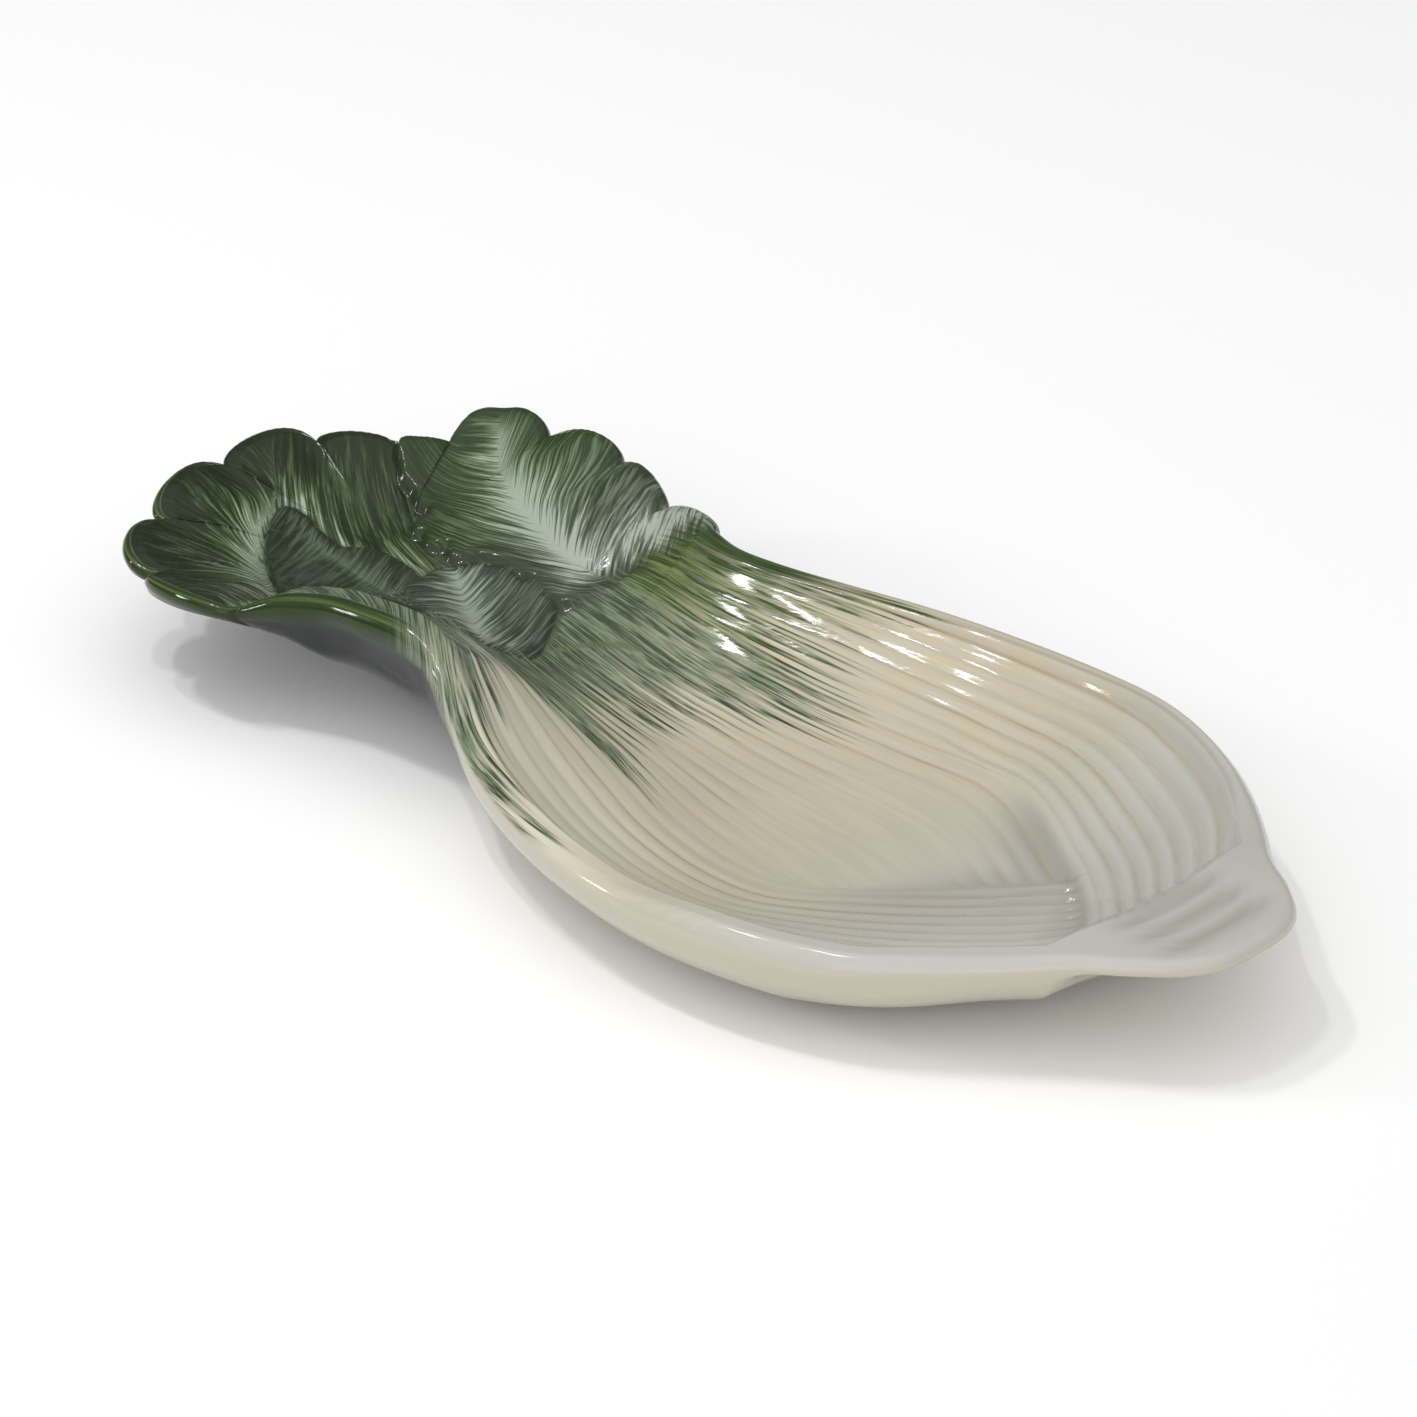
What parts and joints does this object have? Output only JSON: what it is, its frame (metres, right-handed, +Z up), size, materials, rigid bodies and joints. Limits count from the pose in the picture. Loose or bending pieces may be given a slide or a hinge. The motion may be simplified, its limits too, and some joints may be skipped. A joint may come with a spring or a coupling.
{
  "type": "bok choy shaped ceramic dish",
  "caption": "Shallow glazed ceramic serving dish shaped as a bok choy: a bulb bowl, a pinched neck, scalloped leaves and a flat root tab.",
  "frame": {"origin": "on the table under the middle of the dish's bounding box", "axes": "+X towards the root tab, +Z up"},
  "size_m": [0.2928, 0.1364, 0.0362],
  "materials": {
    "painted_glaze": "gloss"
  },
  "bodies": {
    "root": {"bok_choy_dish": "painted_glaze"}
  },
  "joints": []
}
